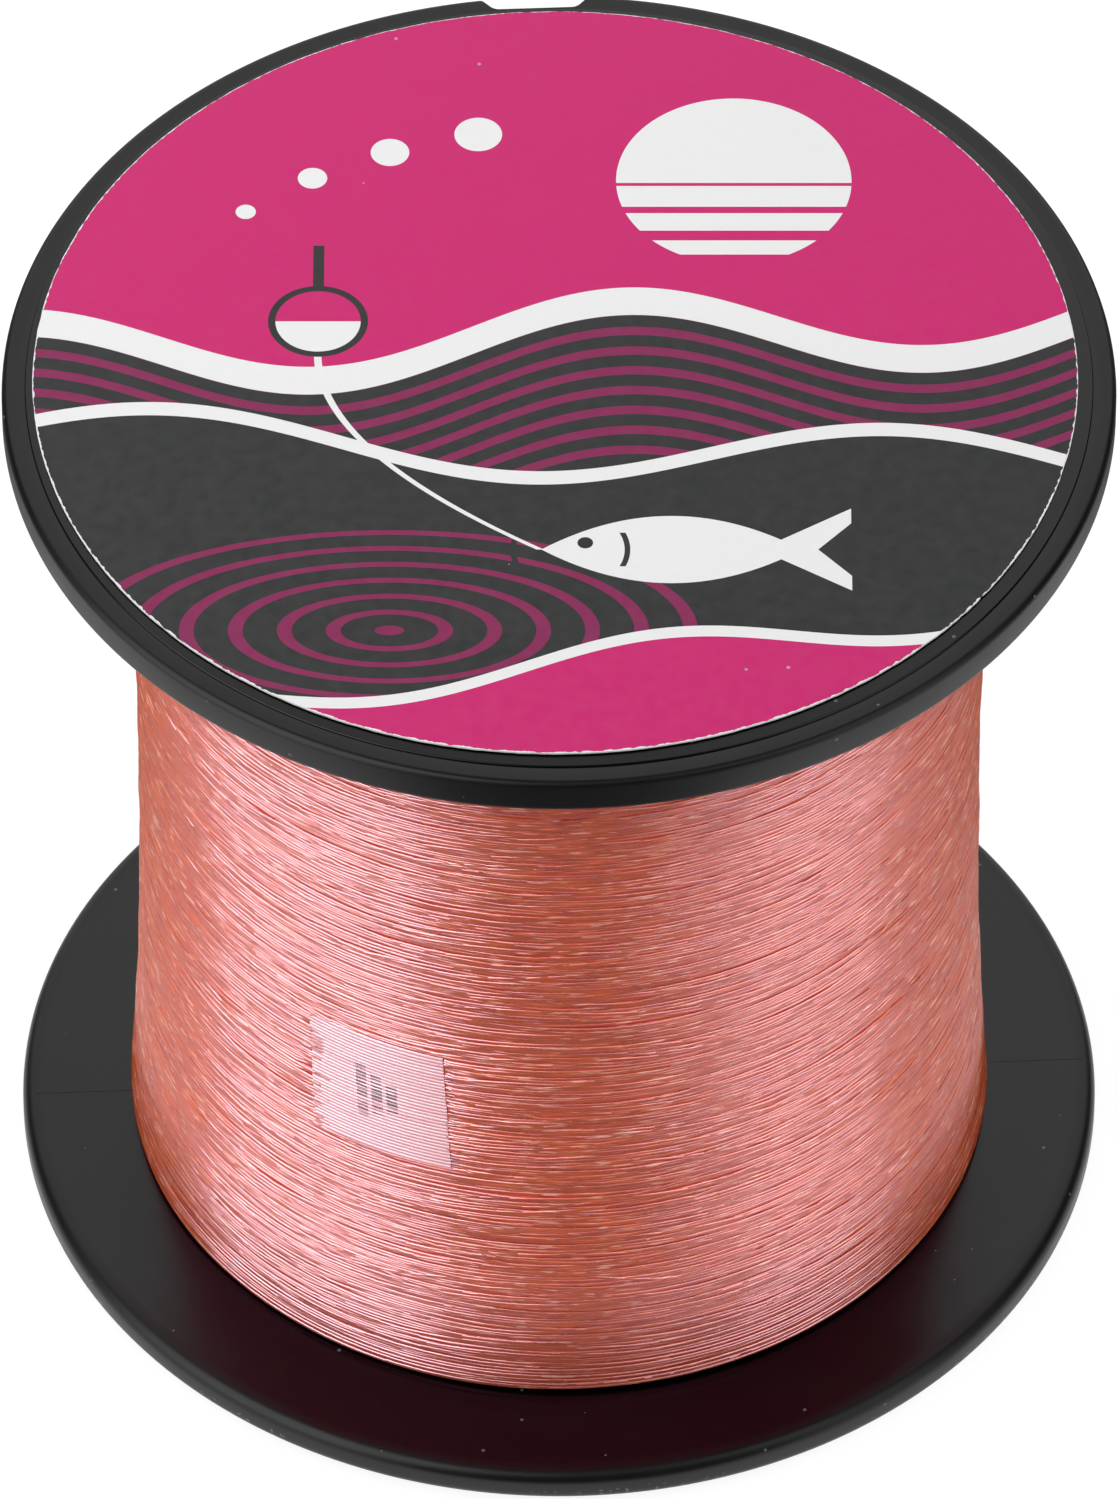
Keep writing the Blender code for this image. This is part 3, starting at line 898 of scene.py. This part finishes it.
LINE_DARK = (0.50, 0.060, 0.002)
LINE_LIGHT = (0.80, 0.135, 0.009)
PACKED_DARK = (0.50, 0.064, 0.003)
PACKED_LIGHT = (0.66, 0.098, 0.007)
# Painted glints: pale strokes mixed into the line's colour stand in for highlights on crossing strands
LINE_PAINTED_GLINT = (1.0, 0.45, 0.28)
PAINTED_GLINT_SPAN = (0.62, 0.69)
PAINTED_GLINT_SHARE = 0.85
# Painted shade: a dark colour mixed into the line by the lower flange and past the seal's right edge
PAINTED_SHADE = (0.10, 0.010, 0.004)
PAINTED_FLANGE_SHADE_REACH = 9 * MM
PAINTED_FLANGE_SHADE = 0.5
MIRRORED_LINE = (0.75, 0.02, 0.09)
LINE_GLOSS = (1.0, 0.68, 0.84, 1.0)
LINE_ROUGHNESS = (0.28, 0.23)

# Strands over the seal: ragged at its left edge, almost clear on it, and with painted shade in teeth past
# its right edge
SEAL_RAG = 0.7 * MM
SEAL_CLEARS = 0.93
TOOTH_HALF = 0.25 * MM
PAINTED_TOOTH_SHADE = 0.8

FILM_DARK = (1.0, 0.46, 0.49)
FILM_LIGHT = (1.0, 0.60, 0.63)
FILM_GLOSS = (1.0, 0.72, 0.84, 1.0)
BAR_INK = (0.04, 0.008, 0.008)
BAR_HALF = 0.32 * MM
BARS = ((-0.9 * MM, 2.0 * MM), (0.0, 1.5 * MM), (0.9 * MM, 1.0 * MM))
TAPE_DARK = (0.74, 0.74, 0.70)
TAPE_LIGHT = (0.84, 0.84, 0.81)


def over_seal(f):
    """Place on the seal, in metres aside from its middle and up from it."""
    _, aside, up = f.parts(f.mapped(1.0, -SEAL_ANGLE))
    up = f.math("SUBTRACT", up, SEAL_MIDDLE)
    return f.math("MULTIPLY_ADD", up, -SEAL_LEAN, aside), up


def pink_line(name, streaks, dark, light, crosses_seal=False):
    """Clear tinted line: an orange body with painted shade by the lower flange, pink gloss, and short pale
    painted glints.

    A mirror shows it redder and dull, which gives the black flange its maroon reflection.
    """
    f = Finish(name)
    tone, glint = f.effect(streaks, Along=420.0, Across=4000.0)
    # Painted glints: pale strokes in the base colour stand in for highlights
    painted_glint = f.span(glint, *PAINTED_GLINT_SPAN, 0.0, PAINTED_GLINT_SHARE)
    colour = f.mix(painted_glint, f.mix(tone, dark, light), LINE_PAINTED_GLINT)
    # Painted shade: the line darkens towards the lower flange, where the black flange keeps light off it
    shade_top = WINDING_LOW + PAINTED_FLANGE_SHADE_REACH
    painted_shade_by_flange = f.span(f.parts(f.place)[2], WINDING_LOW, shade_top, PAINTED_FLANGE_SHADE, 0.0)
    colour = f.mix(painted_shade_by_flange, colour, PAINTED_SHADE)
    mirrored = f.add("LightPath").outputs["Is Glossy Ray"]
    if crosses_seal:
        aside, up = over_seal(f)
        tall = f.less_far(up, SEAL_HALF_HEIGHT)
        left_edge = f.span(tone, 0.2, 0.8, -SEAL_HALF_WIDTH, -SEAL_HALF_WIDTH + SEAL_RAG)
        past_left = f.math("LESS_THAN", left_edge, aside)
        on_seal = f.all_of(past_left, f.math("LESS_THAN", aside, SEAL_HALF_WIDTH), tall)
        # Painted shade: dark teeth just past the seal's right edge, as if the film's edge shaded the strands
        # there
        past_right = f.math("COMPARE", aside, SEAL_HALF_WIDTH + TOOTH_HALF, TOOTH_HALF)
        painted_tooth_shade = f.all_of(past_right, tall, f.span(glint, 0.45, 0.5))
        colour = f.mix(f.math("MULTIPLY", painted_tooth_shade, PAINTED_TOOTH_SHADE), colour, PAINTED_SHADE)
        f.set(Alpha=f.math("MULTIPLY_ADD", on_seal, -SEAL_CLEARS, 1.0))
    f.set(
        Base_Color=f.mix(mirrored, colour, MIRRORED_LINE),
        Roughness=f.any_of(f.span(tone, 0.0, 1.0, *LINE_ROUGHNESS), mirrored),
        IOR=2.6,
        Specular_Tint=LINE_GLOSS,
    )
    f.bump(glint, strength=0.08, distance=0.1 * MM)
    return f.material


def seal_film(streaks):
    """Pale film under the outer strands, with a printed bar mark that their streaks break up."""
    f = Finish("seal_film")
    tone, glint = f.effect(streaks, Along=250.0, Across=5200.0)
    aside, up = over_seal(f)
    colour = f.mix(tone, FILM_DARK, FILM_LIGHT)
    for at, reach in BARS:
        wide = f.math("COMPARE", aside, at, BAR_HALF)
        bar = f.all_of(wide, f.less_far(up, reach), f.span(glint, 0.42, 0.47))
        colour = f.mix(bar, colour, BAR_INK)
    f.set(Base_Color=colour, Roughness=0.34, IOR=2.5, Specular_Tint=FILM_GLOSS)
    return f.material


def clear_tape():
    f = Finish("clear_tape")
    haze = f.noise(f.place, scale=600.0)
    f.set(Base_Color=f.mix(haze, TAPE_DARK, TAPE_LIGHT), Roughness=0.3)
    return f.material


# Light, floor and camera

def face_spool(thing, azimuth, elevation, distance):
    """Places a lamp or a camera in a direction from the spool, and turns it to face the spool."""
    level = math.cos(elevation)
    away = Vector((math.cos(azimuth) * level, math.sin(azimuth) * level, math.sin(elevation)))
    thing.location = CAMERA_TARGET + distance * away
    thing.rotation_mode = "QUATERNION"
    thing.rotation_quaternion = (-away).to_track_quat("-Z", "Y")


def softbox(lamp, moulding):
    """A rectangular lamp, at an angle beside the camera, its brightness given as radiance.

    The brightest leave out the black moulding, whose flanges would mirror them as white patches.
    """
    data = bpy.data.lights.new(lamp.name, "AREA")
    data.shape = "RECTANGLE"
    data.size = lamp.width
    data.size_y = lamp.height
    data.energy = lamp.radiance * math.pi * lamp.width * lamp.height
    box = bpy.data.objects.new(lamp.name, data)
    bpy.context.scene.collection.objects.link(box)
    azimuth = CAMERA_AZIMUTH + math.radians(lamp.beside_camera)
    face_spool(box, azimuth, math.radians(lamp.elevation), lamp.distance)
    box.visible_glossy = lamp.in_gloss
    box.visible_diffuse = lamp.in_body
    if not lamp.on_moulding:
        unlit = bpy.data.collections.new(lamp.name + "_spares")
        unlit.objects.link(moulding)
        unlit.collection_objects[0].light_linking.link_state = "EXCLUDE"
        box.light_linking.receiver_collection = unlit


def from_camera_side(n, output):
    """Parts of a place or direction: towards the camera, and aside of it."""
    turned = n.add("Mapping")
    turned.inputs["Rotation"].default_value = (0.0, 0.0, -CAMERA_AZIMUTH)
    n.plug(n.add("TexCoord").outputs[output], turned.inputs["Vector"])
    towards, aside, _ = n.parts(turned.outputs[0])
    return towards, n.math("ABSOLUTE", aside)


def studio_world(ambient, front):
    """A room that is white behind the spool, and dim in front where the softboxes and the camera stand."""
    world = bpy.data.worlds.new("studio")
    bpy.context.scene.world = world
    world.use_nodes = True
    n = Nodes(world.node_tree)
    background = n.tree.nodes["Background"]
    background.inputs["Color"].default_value = (1.0, 1.0, 1.0, 1.0)
    towards, aside = from_camera_side(n, "Generated")
    dim = n.any_of(n.eased(towards, -0.55, -0.25), n.eased(aside, 0.35, 0.7))
    room = n.math("MULTIPLY_ADD", dim, front - 1.0, 1.0)
    path = n.add("LightPath")
    mirrored = n.any_of(path.outputs["Is Glossy Ray"], path.outputs["Is Transmission Ray"])
    strength = n.math("MULTIPLY_ADD", mirrored, n.math("SUBTRACT", room, ambient), ambient)
    n.plug(n.any_of(strength, path.outputs["Is Camera Ray"]), background.inputs["Strength"])


def studio_floor():
    """A pale floor that is white to the camera, with the same dim gap in its reflection."""
    start_clean()
    bpy.ops.mesh.primitive_plane_add(size=FLOOR_SIZE, location=(0.0, 0.0, body_low.z - FLOOR_GAP))
    floor = bpy.context.object
    floor.name = "studio_floor"
    material = bpy.data.materials.new("studio_floor")
    material.use_nodes = True
    n = Nodes(material.node_tree)
    shader = n.tree.nodes["Principled BSDF"]
    shader.inputs["Base Color"].default_value = (FLOOR_GREY, FLOOR_GREY, FLOOR_GREY, 1.0)
    shader.inputs["Roughness"].default_value = 1.0
    shader.inputs["Specular IOR Level"].default_value = 0.0
    shader.inputs["Emission Color"].default_value = (1.0, 1.0, 1.0, 1.0)
    towards, aside = from_camera_side(n, "Object")
    lean = n.math("DIVIDE", aside, n.any_of(towards, 1e-4))
    near = n.math("LESS_THAN", towards, 1.15 * FLANGE_RADIUS)
    before = n.eased(towards, -2 * FLANGE_RADIUS, 0.0)
    mirrored = n.all_of(n.any_of(n.eased(lean, 0.25, 0.85), near), before)
    bright = n.any_of(mirrored, n.add("LightPath").outputs["Is Camera Ray"])
    n.plug(n.all_of(n.seen_directly(), bright, FLOOR_GLOW), shader.inputs["Emission Strength"])
    floor.data.materials.append(material)


def studio_camera():
    data = bpy.data.cameras.new("photo_camera")
    data.lens = CAMERA_LENS
    data.sensor_width = 36.0
    data.clip_start = 0.01
    data.clip_end = 20.0
    camera = bpy.data.objects.new("photo_camera", data)
    bpy.context.scene.collection.objects.link(camera)
    face_spool(camera, CAMERA_AZIMUTH, CAMERA_ELEVATION, CAMERA_DISTANCE)
    bpy.context.scene.camera = camera


def build():
    """Makes every piece, and returns the moulding, which some lamps leave out."""
    streaks = strand_streaks()
    dust = settled_dust()
    line = pink_line("pink_line", streaks, LINE_DARK, LINE_LIGHT)
    packed = pink_line("packed_line", streaks, PACKED_DARK, PACKED_LIGHT)
    film = seal_film(streaks)
    tape = clear_tape()

    moulding = dress(spool_moulding(), black_plastic(dust), ["spool_body"])
    dress(label_disc(), label_print(dust), ["face_label"])
    bed = wound_core(
        "line_core_outer", stage_2_low.z, stage_2_high.z, OUTER_CORE_INSIDE,
        lambda z: winding_radius(z) - BED_DEPTH,
    )
    dress(bed, packed, ["line_second_100m"])
    inner = wound_core(
        "line_core_inner", stage_1_low.z, stage_1_high.z, INNER_CORE_INSIDE,
        lambda z: np.full_like(z, INNER_CORE_OUTSIDE),
    )
    dress(inner, packed, ["line_first_100m"])
    over = pink_line("line_over_seal", streaks, LINE_DARK, LINE_LIGHT, crosses_seal=True)
    for order, layer in enumerate(LAYERS):
        strands = dress(strand_layer(layer, order), line, ["line_outer_layer"])
    clear_over_seal(strands, over)
    dress(length_seal(), film, ["marking_seal_200m"])
    for node, material in (("marking_seal_100m", film), ("line_start_tape", tape)):
        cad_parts[node].data.materials.clear()
        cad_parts[node].data.materials.append(material)
    return moulding


moulding = build()
studio_floor()
studio_world(ambient=0.66, front=0.05)
for lamp in LAMPS:
    softbox(lamp, moulding)
studio_camera()
bpy.context.scene.view_settings.view_transform = "Standard"
